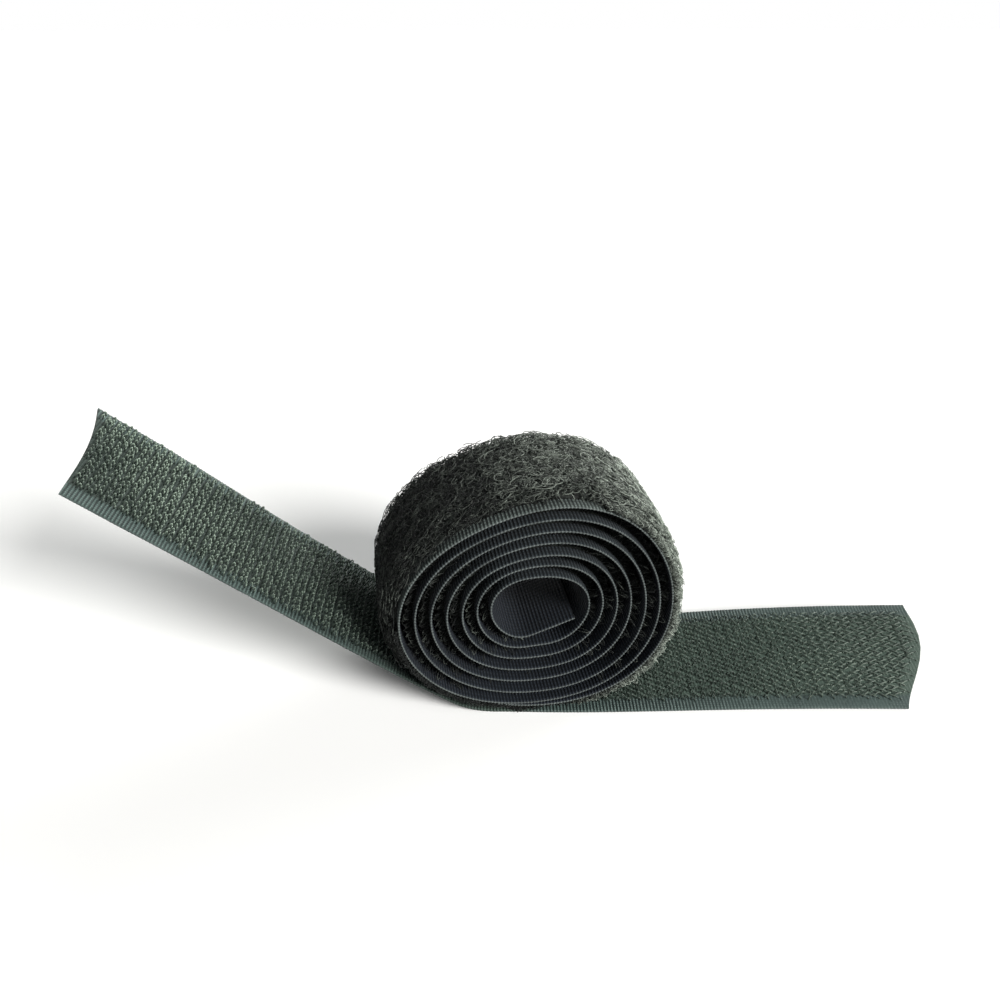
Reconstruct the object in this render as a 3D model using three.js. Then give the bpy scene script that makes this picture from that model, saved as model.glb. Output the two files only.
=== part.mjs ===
// Hook and loop tape roll.
// A loop tape is wound into a loose roll, fuzzy side out, and sits hooked on one strip of hook tape.
// Lengths are in millimetres and angles in degrees, with +Z up.
// X runs along the hook strip and Y across it. The origin is on the strip's underside, below the roll.

import * as THREE from "three";

// Sizes that both tapes share
const TAPE_WIDTH = 25;
const SELVEDGE_WIDTH = 2.7;
const GROUND_THICKNESS = 0.35;
const LAYER_GAP = 0.3;

// Roll of loop tape: the eye's reach from its centre, and how far each turn lies outside the last
const EYE_REACH = { right: 9.3, top: 6.8, left: 5.5, bottom: 5 };
const TURN_PITCH = { right: 2.64, top: 2.17, left: 2.52, bottom: 2.62 };
const TURNS = 7;
const STEPS_PER_TURN = 24;
const OUTER_END_DEGREES = 250;
const OUTER_TUCK = 1;
const OUTER_TUCK_TURN_SHARE = 0.27;
const ROLL_YAW_DEGREES = 7.4;
const EYE_CENTRE_X = -2.9;
const ROLL_CENTRE_Y = 1;

// Free inner end of the loop tape: a bend, then a straight tail across the eye
const TAIL_BEND_RADIUS = 4.4;
const TAIL_TILT_DEGREES = 20.7;
const TAIL_LENGTH = 7.2;
const TAIL_BEND_STEPS = 4;

// Pile: the layer of loops outside the ground weave
const PILE_HEIGHT = 1.9;
const PILE_PRESSED = 0.5;
const PILE_LEAST = 0.3;
const PILE_TURN_GAP = 0.45;

// Line of the hook strip: flat under the roll, bent up at the left, then a long gentle curl
const FLAT_TO_LEFT = 6;
const BEND_RADIUS = 14;
const BEND_DEGREES = 37.5;
const CURL_RADIUS = 1600;
const FAR_EDGE_LIFT = 3.9;
const LIFT_START = 8;
const LIFT_RUN = 28;

// Cut lengths of the hook strip, measured along the tape from the origin
const LEFT_LENGTH = { near: 89.7, far: 93.5, hollow: 2.6 };
const RIGHT_LENGTH = { near: 70.5, far: 79.1, bulge: 3 };
const BASE_TO_LEFT = 27;
const BASE_TO_RIGHT = 29;
const BARE_TO_RIGHT = 20;
const FLEX_GAP = 0.3;

// Hooks: bent monofilaments that stand on a thin bed
const HOOK_BED_THICKNESS = 0.25;
const HOOK_HEIGHT = 1.1;
const HOOK_REACH = 0.7;
const HOOK_STEM_RADIUS = 0.32;
const HOOK_BEND_SHARE = 0.72;
const HOOK_CORNER_DEGREES = [180, 300, 60];
const HOOK_PITCH_ALONG = 2.75;
const HOOK_PITCH_ACROSS = 2.8;

// Lengths between two stations of a tape solid
const STATION_STEP = 5;
const BEND_STEPS = 6;
const CROSS_STEPS = 5;

const FULL_TURN = 2 * Math.PI;
const radians = THREE.MathUtils.degToRad;

// A reach that eases between its four stated values as its direction goes round
function reachAt({ right, top, left, bottom }, angle) {
  return (
    (right + top + left + bottom) / 4 +
    ((right - left) / 2) * Math.cos(angle) +
    ((top - bottom) / 2) * Math.sin(angle) +
    ((right + left - top - bottom) / 4) * Math.cos(2 * angle)
  );
}

// A closed solid lofted through rings that hold the same even number of points.
// Point j of a ring lies opposite point (count - 1 - j), so the end faces are strips of quads.
function loft(rings) {
  const count = rings[0].length;
  const half = count / 2;
  const index = [];
  const quad = (a, b, c, d) => index.push(a, b, c, a, c, d);
  for (let i = 0; i + 1 < rings.length; i++) {
    const here = i * count;
    const next = here + count;
    for (let j = 0; j < count; j++) {
      const k = (j + 1) % count;
      quad(here + j, here + k, next + k, next + j);
    }
  }
  const last = (rings.length - 1) * count;
  for (let j = 0; j + 1 < half; j++) {
    quad(j, count - 1 - j, count - 2 - j, j + 1);
    quad(last + j, last + j + 1, last + count - 2 - j, last + count - 1 - j);
  }
  return geometryFrom(rings.flat(), index);
}

function geometryFrom(points, index) {
  const geometry = new THREE.BufferGeometry().setFromPoints(points);
  geometry.setIndex(index);
  geometry.computeVertexNormals();
  return geometry;
}

// Distance from a point to a run of straight segments
function distanceToLine(point, line) {
  const segment = new THREE.Line3();
  const nearest = new THREE.Vector3();
  let least = Infinity;
  for (let i = 0; i + 1 < line.length; i++) {
    segment.set(line[i], line[i + 1]).closestPointToPoint(point, true, nearest);
    least = Math.min(least, point.distanceTo(nearest));
  }
  return least;
}

// Line of the hook strip's underside at its near edge, at a length along the tape
function stripLine(length) {
  const bent = -FLAT_TO_LEFT - length;
  if (bent <= 0) return { x: length, z: 0, slope: 0 };
  const bendSlope = radians(BEND_DEGREES);
  const slope = Math.min(bent / BEND_RADIUS, bendSlope);
  const curled = Math.max(0, bent - BEND_RADIUS * bendSlope);
  const endSlope = slope + curled / CURL_RADIUS;
  return {
    x:
      -FLAT_TO_LEFT -
      BEND_RADIUS * Math.sin(slope) -
      CURL_RADIUS * (Math.sin(endSlope) - Math.sin(slope)),
    z:
      BEND_RADIUS * (1 - Math.cos(slope)) +
      CURL_RADIUS * (Math.cos(slope) - Math.cos(endSlope)),
    slope: endSlope,
  };
}

// Height that the far edge has gained over the near edge, right of the roll
function farEdgeLift(length) {
  const run = Math.max(0, length - LIFT_START);
  return FAR_EDGE_LIFT * (1 - Math.exp(-run / LIFT_RUN));
}

// A point of the hook strip: a length along it, a distance from its near edge, a height off its underside
function stripPoint(length, fromNear, height) {
  const { x, z, slope } = stripLine(length);
  const tilt = Math.asin(farEdgeLift(length) / TAPE_WIDTH);
  const along = new THREE.Vector3(Math.cos(slope), 0, -Math.sin(slope));
  const across = new THREE.Vector3(0, 1, 0).applyAxisAngle(along, tilt);
  const up = new THREE.Vector3().crossVectors(along, across);
  return new THREE.Vector3(x, -TAPE_WIDTH / 2, z)
    .addScaledVector(across, fromNear)
    .addScaledVector(up, height);
}

// Heights of the layers above the strip's underside
const BED_BOTTOM = GROUND_THICKNESS + LAYER_GAP;
const BED_TOP = BED_BOTTOM + HOOK_BED_THICKNESS;

// The curved cuts of the strip's two ends, as lengths along the tape
function leftCut(fromNear) {
  const share = fromNear / TAPE_WIDTH;
  const straight = THREE.MathUtils.lerp(LEFT_LENGTH.near, LEFT_LENGTH.far, share);
  return 4 * LEFT_LENGTH.hollow * share * (1 - share) - straight;
}

function rightCut(fromNear) {
  const share = fromNear / TAPE_WIDTH;
  const straight = THREE.MathUtils.lerp(RIGHT_LENGTH.near, RIGHT_LENGTH.far, share);
  return straight + 4 * RIGHT_LENGTH.bulge * share * (1 - share);
}

// Where the strip bends when an end is lifted, and the stations between
const leftSlit = () => -BASE_TO_LEFT;
const rightSlit = () => BASE_TO_RIGHT;
const bareBedEnd = () => BARE_TO_RIGHT - FLEX_GAP;
const hookedBedStart = () => BARE_TO_RIGHT;
const leftStart = () => -BASE_TO_LEFT - FLEX_GAP;
const rightStart = () => BASE_TO_RIGHT + FLEX_GAP;

function evenShares(steps) {
  return Array.from({ length: steps + 1 }, (_, i) => i / steps);
}

function endShares(start, cut) {
  return evenShares(Math.ceil(Math.abs(cut(TAPE_WIDTH / 2) - start) / STATION_STEP));
}

// The base's stations, close together in the bend and wide apart on the flat
function baseShares() {
  const bendLength = BEND_RADIUS * radians(BEND_DEGREES);
  const bendEnd = Math.min(FLAT_TO_LEFT + bendLength, BASE_TO_LEFT);
  const liftStart = Math.min(LIFT_START, BASE_TO_RIGHT);
  const liftSteps = Math.ceil((BASE_TO_RIGHT - liftStart) / STATION_STEP);
  const lengths = [
    -BASE_TO_LEFT,
    ...evenShares(BEND_STEPS).map((share) => THREE.MathUtils.lerp(-bendEnd, -FLAT_TO_LEFT, share)),
    ...evenShares(liftSteps).map((share) => THREE.MathUtils.lerp(liftStart, BASE_TO_RIGHT, share)),
  ];
  const total = BASE_TO_LEFT + BASE_TO_RIGHT;
  return [...new Set(lengths.map((length) => (length + BASE_TO_LEFT) / total))];
}

// The ground weave of the strip between two cuts.
// Each station's ring goes across the underside and back across the top.
function stripGround(start, end, shares) {
  const across = evenShares(CROSS_STEPS).map((share) => TAPE_WIDTH * share);
  const row = (share, height, sides) =>
    sides.map((side) =>
      stripPoint(THREE.MathUtils.lerp(start(side), end(side), share), side, height),
    );
  return loft(
    shares.map((share) => [
      ...row(share, 0, across),
      ...row(share, GROUND_THICKNESS, [...across].reverse()),
    ]),
  );
}

const HOOKED_WIDTH = { from: SELVEDGE_WIDTH, to: TAPE_WIDTH - SELVEDGE_WIDTH };

// The bed is bare of modelled hooks where the roll's pile presses on it
function isHooked(length) {
  return length < -BASE_TO_LEFT || length > BARE_TO_RIGHT;
}

// A thin bed divided in cells, with one three-sided hook in the middle of each cell clear of the roll.
// Neighbouring columns bend opposite ways along the tape, as their threads do.
function hookField(start, end) {
  const middle = TAPE_WIDTH / 2;
  const rows = Math.round((end(middle) - start(middle)) / HOOK_PITCH_ALONG);
  const columns = Math.round((HOOKED_WIDTH.to - HOOKED_WIDTH.from) / HOOK_PITCH_ACROSS);
  const points = [];
  const index = [];
  const add = (length, side, height) => points.push(stripPoint(length, side, height)) - 1;
  const triangle = (a, b, c) => index.push(a, b, c);
  const quad = (a, b, c, d) => index.push(a, b, c, a, c, d);
  const sideAt = (j) => THREE.MathUtils.lerp(HOOKED_WIDTH.from, HOOKED_WIDTH.to, j / columns);
  const lengthAt = (i, side) => THREE.MathUtils.lerp(start(side), end(side), i / rows);
  const grid = (height) =>
    Array.from({ length: rows + 1 }, (_, i) =>
      Array.from({ length: columns + 1 }, (_, j) => add(lengthAt(i, sideAt(j)), sideAt(j), height)),
    );
  const top = grid(BED_TOP);
  const bottom = grid(BED_BOTTOM);
  const ring = (length, side, height) =>
    HOOK_CORNER_DEGREES.map((degrees) =>
      add(
        length + HOOK_STEM_RADIUS * Math.cos(radians(degrees)),
        side + HOOK_STEM_RADIUS * Math.sin(radians(degrees)),
        height,
      ),
    );
  for (let i = 0; i < rows; i++) {
    for (let j = 0; j < columns; j++) {
      const cell = [top[i][j], top[i + 1][j], top[i + 1][j + 1], top[i][j + 1]];
      const side = sideAt(j + 1 / 2);
      const length = lengthAt(i + 1 / 2, side);
      quad(bottom[i][j + 1], bottom[i + 1][j + 1], bottom[i + 1][j], bottom[i][j]);
      if (!isHooked(length)) {
        quad(...cell);
        continue;
      }
      const foot = ring(length, side, BED_TOP);
      const bend = ring(length, side, BED_TOP + HOOK_HEIGHT * HOOK_BEND_SHARE);
      const reach = j % 2 ? HOOK_REACH : -HOOK_REACH;
      const tip = add(length + reach, side, BED_TOP + HOOK_HEIGHT);
      quad(cell[0], cell[1], foot[1], foot[0]);
      quad(cell[1], cell[2], foot[2], foot[1]);
      quad(cell[2], cell[3], foot[0], foot[2]);
      triangle(cell[3], cell[0], foot[0]);
      for (let k = 0; k < foot.length; k++) {
        const next = (k + 1) % foot.length;
        quad(foot[k], foot[next], bend[next], bend[k]);
        triangle(bend[k], bend[next], tip);
      }
    }
  }
  for (let i = 0; i < rows; i++) {
    quad(top[i + 1][0], top[i][0], bottom[i][0], bottom[i + 1][0]);
    quad(top[i][columns], top[i + 1][columns], bottom[i + 1][columns], bottom[i][columns]);
  }
  for (let j = 0; j < columns; j++) {
    quad(top[0][j], top[0][j + 1], bottom[0][j + 1], bottom[0][j]);
    quad(top[rows][j + 1], top[rows][j], bottom[rows][j], bottom[rows][j + 1]);
  }
  return geometryFrom(points, index);
}

// A point of the winding's middle line, a number of turns in from the outer end.
// Its centre is the eye's, and the outer end is tucked against the turn below it.
function windingPoint(turn) {
  const angle = radians(OUTER_END_DEGREES) + FULL_TURN * turn;
  const tuckShare = Math.max(0, 1 - turn / OUTER_TUCK_TURN_SHARE);
  const reach =
    reachAt(EYE_REACH, angle) +
    reachAt(TURN_PITCH, angle) * (TURNS - turn) -
    OUTER_TUCK * tuckShare ** 2;
  return new THREE.Vector3(reach * Math.cos(angle), 0, reach * Math.sin(angle));
}

// The whole middle line of the loop tape: its turns, the bend and the straight tail
function windingLine() {
  const steps = Math.round(TURNS * STEPS_PER_TURN);
  const line = evenShares(steps).map((share) => windingPoint(share * TURNS));
  const end = line[line.length - 1];
  const heading = end.clone().sub(line[line.length - 2]);
  const from = Math.atan2(heading.z, heading.x);
  const to = radians(TAIL_TILT_DEGREES);
  for (const share of evenShares(TAIL_BEND_STEPS).slice(1)) {
    const now = THREE.MathUtils.lerp(from, to, share);
    line.push(
      new THREE.Vector3(
        end.x + TAIL_BEND_RADIUS * (Math.sin(now) - Math.sin(from)),
        0,
        end.z + TAIL_BEND_RADIUS * (Math.cos(from) - Math.cos(now)),
      ),
    );
  }
  const tail = new THREE.Vector3(Math.cos(to), 0, Math.sin(to)).multiplyScalar(TAIL_LENGTH);
  line.push(line[line.length - 1].clone().add(tail));
  return line;
}

// Directions square to a line, away from the eye, which the tape goes round counter-clockwise
function outwardNormals(line) {
  return line.map((_, i) => {
    const before = line[Math.max(0, i - 1)];
    const after = line[Math.min(line.length - 1, i + 1)];
    const along = after.clone().sub(before).normalize();
    return new THREE.Vector3(along.z, 0, -along.x);
  });
}

const winding = windingLine();
const outward = outwardNormals(winding);

// The eye's centre stands as high as the pressed pile under the roll needs
const LOWEST_MIDDLE = BED_TOP + LAYER_GAP + PILE_PRESSED + LAYER_GAP + GROUND_THICKNESS / 2;
const EYE_CENTRE_Z = LOWEST_MIDDLE - Math.min(...winding.map((point) => point.z));

// Upper limit of the hook strip below the roll: its bed, and its hooks where it has them
function stripTop() {
  const reach = { from: -2 * BASE_TO_LEFT, to: BASE_TO_RIGHT };
  const steps = Math.round((reach.to - reach.from) / GROUND_THICKNESS);
  return evenShares(steps).map((share) => {
    const length = THREE.MathUtils.lerp(reach.from, reach.to, share);
    const { x, z, slope } = stripLine(length);
    const height = BED_TOP + (isHooked(length) ? HOOK_HEIGHT : 0);
    return new THREE.Vector3(x + height * Math.sin(slope), 0, z + height * Math.cos(slope));
  });
}

// Height of the pile at a station: free on the outside, pressed between turns and over the strip
function pileHeights() {
  const yaw = radians(ROLL_YAW_DEGREES);
  const limit = stripTop();
  return winding.map((point, i) => {
    const overStrip = [-1, 1].map((edge) => {
      const shift = EYE_CENTRE_X + (edge * TAPE_WIDTH * Math.sin(yaw)) / 2;
      const place = new THREE.Vector3(point.x * Math.cos(yaw) + shift, 0, point.z + EYE_CENTRE_Z);
      return distanceToLine(place, limit) - 2 * LAYER_GAP - GROUND_THICKNESS / 2;
    });
    const outerTurns = winding.slice(0, Math.max(0, i - STEPS_PER_TURN / 2));
    const underTurn =
      distanceToLine(point, outerTurns) - GROUND_THICKNESS - LAYER_GAP - PILE_TURN_GAP;
    const height = Math.min(PILE_HEIGHT, underTurn, ...overStrip);
    return Math.max(PILE_LEAST, height);
  });
}

// A layer of the winding between two distances outside the middle line, over a half width
function windingLayer(inner, outer, halfWidth) {
  return loft(
    winding.map((point, i) => {
      const corner = (distance, side) =>
        point.clone().addScaledVector(outward[i], distance).setY(side);
      return [
        corner(outer[i], -halfWidth),
        corner(outer[i], halfWidth),
        corner(inner[i], halfWidth),
        corner(inner[i], -halfWidth),
      ];
    }),
  );
}

// Least gap between the outer face of one turn and the inner face of the turns outside it
function leastGap(inner, outer) {
  const face = (distances) =>
    winding.map((point, i) => point.clone().addScaledVector(outward[i], distances[i]));
  const outerFace = face(outer);
  const innerFace = face(inner);
  const gaps = outerFace.map((point, i) => {
    const before = innerFace.slice(0, Math.max(0, i - STEPS_PER_TURN / 2));
    return before.length > 1 ? distanceToLine(point, before) : Infinity;
  });
  return Math.min(...gaps);
}

const evenly = (distance) => winding.map(() => distance);
const groundInner = evenly(-GROUND_THICKNESS / 2);
const groundOuter = evenly(GROUND_THICKNESS / 2);
const pileInner = evenly(GROUND_THICKNESS / 2 + LAYER_GAP);
const pileOuter = pileHeights().map((height, i) => pileInner[i] + height);
console.log(
  "least gap of the ground tape to itself",
  leastGap(groundInner, groundOuter).toFixed(2),
  "of the pile to itself",
  leastGap(pileInner, pileOuter).toFixed(2),
  "of the pile to the next turn's ground",
  leastGap(groundInner, pileOuter).toFixed(2),
);

const MATERIALS = {
  loopGround: new THREE.MeshStandardMaterial({ color: 0x33363a, roughness: 0.75, metalness: 0 }),
  loopPile: new THREE.MeshStandardMaterial({ color: 0x3d403c, roughness: 0.95, metalness: 0 }),
  hookGround: new THREE.MeshStandardMaterial({ color: 0x36423f, roughness: 0.75, metalness: 0 }),
  hooks: new THREE.MeshStandardMaterial({ color: 0x2f3b35, roughness: 0.5, metalness: 0 }),
};

const part = new THREE.Group();

function addPiece(group, name, geometry, material) {
  const piece = new THREE.Mesh(geometry, material);
  piece.name = name;
  group.add(piece);
}

// Hook strip: a base under the roll and two free ends, each a ground weave below a bed of hooks
const hookStrip = new THREE.Group();
const grounds = [
  { name: "hook_tape_base_ground", start: leftSlit, end: rightSlit, shares: baseShares() },
  { name: "hook_tape_left_end_ground", start: leftCut, end: leftStart, shares: endShares(leftStart(), leftCut) },
  { name: "hook_tape_right_end_ground", start: rightStart, end: rightCut, shares: endShares(rightStart(), rightCut) },
];
const hookFields = [
  { name: "hook_tape_base_bed", start: leftSlit, end: bareBedEnd },
  { name: "hook_tape_base_hooks", start: hookedBedStart, end: rightSlit },
  { name: "hook_tape_left_end_hooks", start: leftCut, end: leftStart },
  { name: "hook_tape_right_end_hooks", start: rightStart, end: rightCut },
];
for (const { name, start, end, shares } of grounds) {
  addPiece(hookStrip, name, stripGround(start, end, shares), MATERIALS.hookGround);
}
for (const { name, start, end } of hookFields) {
  addPiece(hookStrip, name, hookField(start, end), MATERIALS.hooks);
}
part.add(hookStrip);

// Roll of loop tape, turned a little on the strip
const roll = new THREE.Group();
const rollYaw = radians(ROLL_YAW_DEGREES);
roll.rotation.z = rollYaw;
roll.position.set(
  EYE_CENTRE_X * Math.cos(rollYaw),
  ROLL_CENTRE_Y + EYE_CENTRE_X * Math.sin(rollYaw),
  EYE_CENTRE_Z,
);
addPiece(
  roll,
  "loop_tape_ground",
  windingLayer(groundInner, groundOuter, TAPE_WIDTH / 2),
  MATERIALS.loopGround,
);
addPiece(
  roll,
  "loop_tape_pile",
  windingLayer(pileInner, pileOuter, TAPE_WIDTH / 2 - SELVEDGE_WIDTH),
  MATERIALS.loopPile,
);
part.add(roll);

export default part;
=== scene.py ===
import bpy
import numpy as np
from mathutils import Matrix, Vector


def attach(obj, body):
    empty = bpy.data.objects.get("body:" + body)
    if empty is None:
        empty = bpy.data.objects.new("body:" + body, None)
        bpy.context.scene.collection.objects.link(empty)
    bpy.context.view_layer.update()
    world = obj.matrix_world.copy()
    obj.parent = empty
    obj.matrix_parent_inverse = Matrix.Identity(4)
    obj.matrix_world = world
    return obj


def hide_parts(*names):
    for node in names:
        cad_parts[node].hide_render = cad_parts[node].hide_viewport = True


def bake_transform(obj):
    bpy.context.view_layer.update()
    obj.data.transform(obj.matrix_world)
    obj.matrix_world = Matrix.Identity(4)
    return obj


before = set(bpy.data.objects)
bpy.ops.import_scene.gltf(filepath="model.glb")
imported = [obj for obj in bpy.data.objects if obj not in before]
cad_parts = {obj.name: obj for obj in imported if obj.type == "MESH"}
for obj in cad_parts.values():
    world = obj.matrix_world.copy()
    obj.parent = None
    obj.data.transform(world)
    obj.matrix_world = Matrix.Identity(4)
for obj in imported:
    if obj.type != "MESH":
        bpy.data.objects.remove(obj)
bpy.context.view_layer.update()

# Hook and loop tape roll: a loose roll of loop tape, fuzzy side out, hooked on one strip of hook tape.
# Shapes are worked out in millimetres and put into the meshes in metres.
# X runs along the hook strip, Y across it towards the back, Z up from the floor.


# ---------------------------------------------------------------- Studio
# A plain pale floor and surround, paler to the camera than in the light they cast back. One soft lamp stands low
# on the front right, a weak one in front and above, and one far back on the right that catches the fibres. The
# camera looks down on the roll from the front, a little left of its middle.
MM = 0.001
CAMERA_PLACE = (-8.5, -124.1, 114.3)
CAMERA_HEADING = 1.555
CAMERA_DOWN = 31.308
CAMERA_LENS = 30.21
CAMERA_SENSOR = 36
CAMERA_NEAR = 0.001
FLOOR_HALF = 3.0
FLOOR_DROP = 0.00005
FLOOR_SEEN = (0.96, 0.96, 0.96, 1)
FLOOR_BOUNCE = (0.18, 0.18, 0.18, 1)
FLOOR_GLOW = 0.06
SKY_TINT = (0.97, 0.99, 1, 1)
SKY_STRENGTH = 0.04
WHITE = (1, 1, 1, 1)
# Name, direction towards the lamp, spread in degrees, strength and colour
LAMPS = (
    ("lamp_key", (0.65, -0.60, 0.48), 22, 5.2, (1.0, 0.99, 0.96)),
    ("lamp_front", (0.05, -0.51, 0.86), 32, 0.45, (0.96, 0.98, 1.0)),
    ("lamp_back", (0.80, 0.54, 0.22), 40, 3.6, (0.98, 1.0, 0.96)),
)

camera = bpy.data.objects.new("camera", bpy.data.cameras.new("camera"))
bpy.context.collection.objects.link(camera)
camera.location = [c * MM for c in CAMERA_PLACE]
camera.rotation_euler = np.radians((90 - CAMERA_DOWN, 0, -CAMERA_HEADING))
camera.data.sensor_width = CAMERA_SENSOR
camera.data.lens = CAMERA_LENS
camera.data.clip_start = CAMERA_NEAR
bpy.context.scene.camera = camera
bpy.context.scene.view_settings.view_transform = "Standard"

for lamp_name, towards, spread, strength, colour in LAMPS:
    lamp = bpy.data.objects.new(lamp_name, bpy.data.lights.new(lamp_name, "SUN"))
    bpy.context.collection.objects.link(lamp)
    direction = Vector(towards).normalized()
    lamp.location = direction
    lamp.rotation_euler = direction.to_track_quat("Z", "Y").to_euler()
    lamp.data.angle = np.radians(spread)
    lamp.data.energy = strength
    lamp.data.color = colour


def add_node(tree, kind, inputs=(), **settings):
    """A shader node whose inputs are given by name or number, each as a value or as another node's socket."""
    made = tree.nodes.new("ShaderNode" + kind)
    for key, value in settings.items():
        setattr(made, key, value)
    for key, value in dict(inputs).items():
        if isinstance(value, bpy.types.NodeSocket):
            tree.links.new(value, made.inputs[key])
        else:
            made.inputs[key].default_value = value
    return made


def maths(tree, operation, *values):
    """Result of a Math node on one, two or three values or sockets."""
    return add_node(tree, "Math", dict(enumerate(values)), operation=operation).outputs[0]


def between(tree, share, low, high):
    """Colour that runs from low to high as the share goes from 0 to 1."""
    return add_node(tree, "Mix", {0: share, 6: low, 7: high}, data_type="RGBA").outputs[2]


def new_material(name):
    """A material with nodes, and its node tree."""
    material = bpy.data.materials.new(name)
    material.use_nodes = True
    return material, material.node_tree


def seen_directly(tree):
    """1 for camera, mirror and see-through rays, and 0 for rays that carry light between surfaces."""
    ray = add_node(tree, "LightPath").outputs
    first = maths(tree, "MAXIMUM", ray["Is Camera Ray"], ray["Is Glossy Ray"])
    return maths(tree, "MAXIMUM", first, ray["Is Transmission Ray"])


world = bpy.data.worlds.new("surround")
bpy.context.scene.world = world
world.use_nodes = True
tree = world.node_tree
tree.nodes.clear()
ambient = add_node(tree, "Background", {"Color": SKY_TINT, "Strength": SKY_STRENGTH}).outputs[0]
backdrop = add_node(tree, "Background", {"Color": WHITE, "Strength": 1}).outputs[0]
surround = add_node(tree, "MixShader", {0: seen_directly(tree), 1: ambient, 2: backdrop})
add_node(tree, "OutputWorld", {"Surface": surround.outputs[0]})

floor_paper, tree = new_material("floor_paper")
tree.nodes.clear()
seen = seen_directly(tree)
paper = add_node(tree, "BsdfDiffuse", {"Color": between(tree, seen, FLOOR_BOUNCE, FLOOR_SEEN)}).outputs[0]
glow = add_node(tree, "Emission", {"Strength": maths(tree, "MULTIPLY", seen, FLOOR_GLOW)}).outputs[0]
both = add_node(tree, "AddShader", {0: paper, 1: glow})
add_node(tree, "OutputMaterial", {"Surface": both.outputs[0]})
floor_mesh = bpy.data.meshes.new("floor")
floor_corners = [(x * FLOOR_HALF, y * FLOOR_HALF, -FLOOR_DROP) for x, y in ((-1, -1), (1, -1), (1, 1), (-1, 1))]
floor_mesh.from_pydata(floor_corners, [], [(0, 1, 2, 3)])
floor_mesh.materials.append(floor_paper)
floor = bpy.data.objects.new("floor", floor_mesh)
bpy.context.collection.objects.link(floor)


# ---------------------------------------------------------------- Hook strip, ground weave
# The strip is one length of sew-on hook tape, 25 mm wide: a dense nylon ribbon whose weft ribs show on
# the bare selvedges. It lies flat under the roll, bends up to its left end, and its right end lies flat.
# The two halves meet under the roll.
TAPE_WIDTH = 25.0
STRIP_THICKNESS = 0.5
RIB_PITCH = 0.62
RIB_STATIONS = 6
RIB_RISE = 0.09
FLAT_TO_LEFT = 6.0
BEND_RADIUS = 14.0
BEND_SLOPE = np.radians(37.5)
CURL_RADIUS = 1600.0
FAR_EDGE_LIFT = 6.2
LIFT_START = 8.0
LIFT_RUN = 42.0
LEFT_SAG = 0.8
LEFT_SAG_RUN = 12.0
LEFT_TIP_SAG = 0.7
LEFT_TWIST = 1.2
LEFT_TWIST_FROM, LEFT_TWIST_TO = 8.0, 76.0
TWIST_PAST_END = 1.2
LEAST_TWIST = -0.2
RIGHT_DRIFT = 1.1
WAIST_AT, WAIST_SPREAD, WAIST_DEPTH = -9.0, 13.0, 0.75
# Places where something starts, and how far it runs until it is whole
LEFT_TIP_RAMP = (60.0, 24.0)
RIGHT_DRIFT_RAMP = (35.0, 44.0)
EDGE_RAMP = (11.5, 1.0)
WORN_RIBS_RAMP = (20.0, 35.0)
EDGE_THINNING = 0.12
EDGE_BULGE = 0.07
FIELD_HALF = 9.8
FIELD_RIBS = 0.4
WORN_RIBS = 0.75
# Each cut: its length at the near and the far edge, its bow, and the power of the bow's shape
LEFT_CUT = (90.2, 94.0, -1.0, 1.0)
RIGHT_CUT = (70.4, 78.6, 3.0, 1.4)
BOW_SKEW = 1.25
# Where each end starts to turn about its joint, and where it has turned whole
LEFT_FOLD = ((-22.3, 0, 8.8), (-28.2, 0, 13.4))
RIGHT_FOLD = ((25.0, 0, 1.5), (33.5, 0, 1.5))


def ramp(value, start, run):
    """0 up to the start, then straight up to 1 over the run. With a negative run it rises the other way."""
    return np.clip((value - start) / run, 0, 1)


def strip_line(length):
    """Near edge's underside at a length along the tape: straight, then an arc, then a very wide arc.
    Returns x, z and the slope."""
    bent = np.maximum(-FLAT_TO_LEFT - length, 0)
    slope = np.minimum(bent / BEND_RADIUS, BEND_SLOPE)
    end = slope + np.maximum(bent - BEND_RADIUS * BEND_SLOPE, 0) / CURL_RADIUS
    flat = np.maximum(length, -FLAT_TO_LEFT)
    x = flat - BEND_RADIUS * np.sin(slope) - CURL_RADIUS * (np.sin(end) - np.sin(slope))
    z = BEND_RADIUS * (1 - np.cos(slope)) + CURL_RADIUS * (np.cos(slope) - np.cos(end))
    return x, z, end


def strip_frame(length, from_near):
    """Point of the underside, and the directions along, across and up off the strip there."""
    x, z, slope = strip_line(length)
    run = np.maximum(length - LIFT_START, 0)
    tilt = np.arcsin(FAR_EDGE_LIFT * (1 - np.exp(-run / LIFT_RUN)) / TAPE_WIDTH)
    along = np.stack([np.cos(slope), np.zeros_like(slope), -np.sin(slope)], -1)
    across = np.stack([np.sin(tilt) * np.sin(slope), np.cos(tilt), np.sin(tilt) * np.cos(slope)], -1)
    up = np.cross(along, across)
    drift = RIGHT_DRIFT * ramp(length, *RIGHT_DRIFT_RAMP) ** 2
    drift = drift - WAIST_DEPTH * np.exp(-(((length - WAIST_AT) / WAIST_SPREAD) ** 2))
    left = np.maximum(-length - LIFT_START, 0)
    sag = LEFT_SAG * (1 - np.exp(-left / LEFT_SAG_RUN)) + LEFT_TIP_SAG * ramp(left, *LEFT_TIP_RAMP) ** 2
    share = np.clip((-length - LEFT_TWIST_FROM) / (LEFT_TWIST_TO - LEFT_TWIST_FROM), 0, TWIST_PAST_END)
    twist = LEFT_TWIST * np.maximum(np.sin(np.pi * share), LEAST_TWIST)
    z = z - sag - twist * (from_near / TAPE_WIDTH - 0.5)
    point = np.stack([x, -TAPE_WIDTH / 2 - drift, z], -1) + across * from_near[..., None]
    return point, along, across, up


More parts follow.
